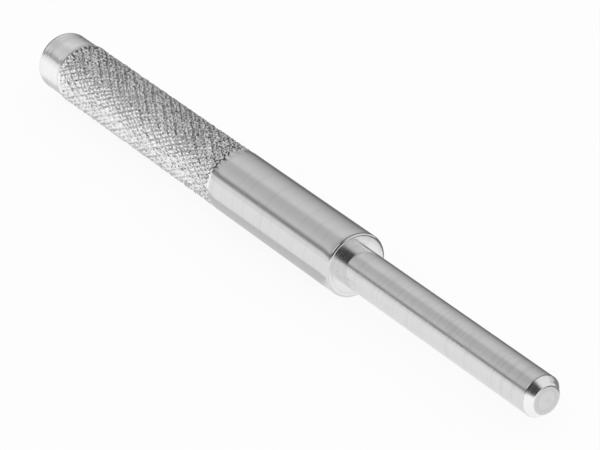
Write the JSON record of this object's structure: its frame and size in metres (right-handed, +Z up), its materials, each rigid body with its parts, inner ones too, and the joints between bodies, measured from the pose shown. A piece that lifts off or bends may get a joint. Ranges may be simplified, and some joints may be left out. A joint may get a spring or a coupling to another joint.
{
  "type": "valve guide drift",
  "caption": "Straight steel drift with a plain struck end, a knurled grip, a flat driving shoulder and a slim chamfered pilot, for driving engine valve guides with a hammer.",
  "frame": {"origin": "on the surface that the tool lies on, under the middle of its length", "axes": "+X along the tool from the struck end to the pilot's tip, +Z up, +Y to the left seen from behind the struck end"},
  "size_m": [0.1582, 0.0126, 0.0125],
  "materials": {
    "handle_steel": "bright polished bar with a rolled diamond knurl, a faced shoulder and a turned struck end",
    "pilot_steel": "bright turned steel with fine marks round it and a faced tip"
  },
  "bodies": {
    "root": {"knurled_handle": "handle_steel", "pilot": "pilot_steel"}
  },
  "joints": []
}
